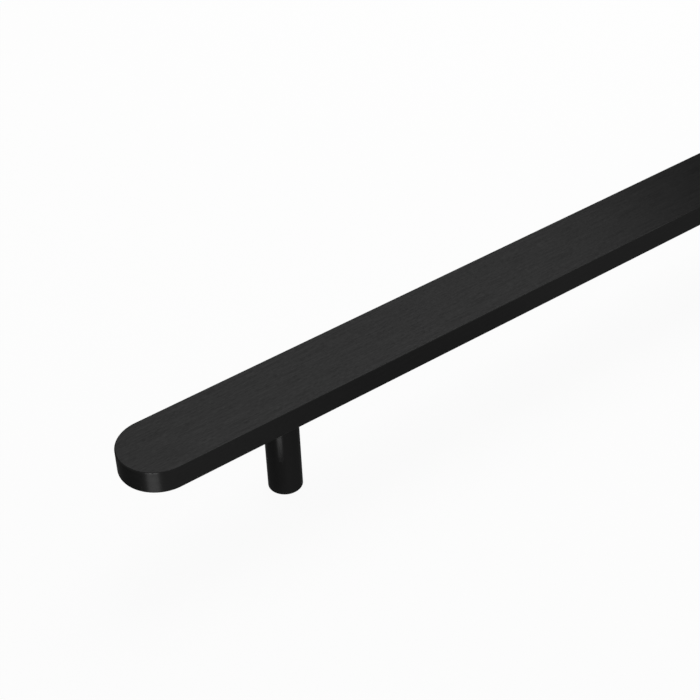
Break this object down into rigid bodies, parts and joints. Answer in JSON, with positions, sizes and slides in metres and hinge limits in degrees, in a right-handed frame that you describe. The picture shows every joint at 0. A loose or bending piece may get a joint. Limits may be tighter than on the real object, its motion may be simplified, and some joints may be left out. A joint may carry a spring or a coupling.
{
  "type": "door pull handle",
  "caption": "Flat grip bar with full-round ends, carried clear of a door on round posts that are tapped in their feet for bolts; gripped to pull the door open.",
  "frame": {"origin": "midway between the post feet, on the plane of the door face", "axes": "+X along the grip bar, +Z out of the door face towards the grip bar, +Y across the bar"},
  "size_m": [0.5998, 0.038, 0.062],
  "materials": {
    "brushed_bar": "black anodised over fine brushing along the bar, satin",
    "turned_post": "black anodised over a smooth turned surface, satin",
    "stud_steel": "black oxide, lightly oiled"
  },
  "bodies": {
    "root": {"pull_bar": "brushed_bar", "post_left": "turned_post", "post_right": "turned_post", "joining_studs": "stud_steel"}
  },
  "joints": []
}
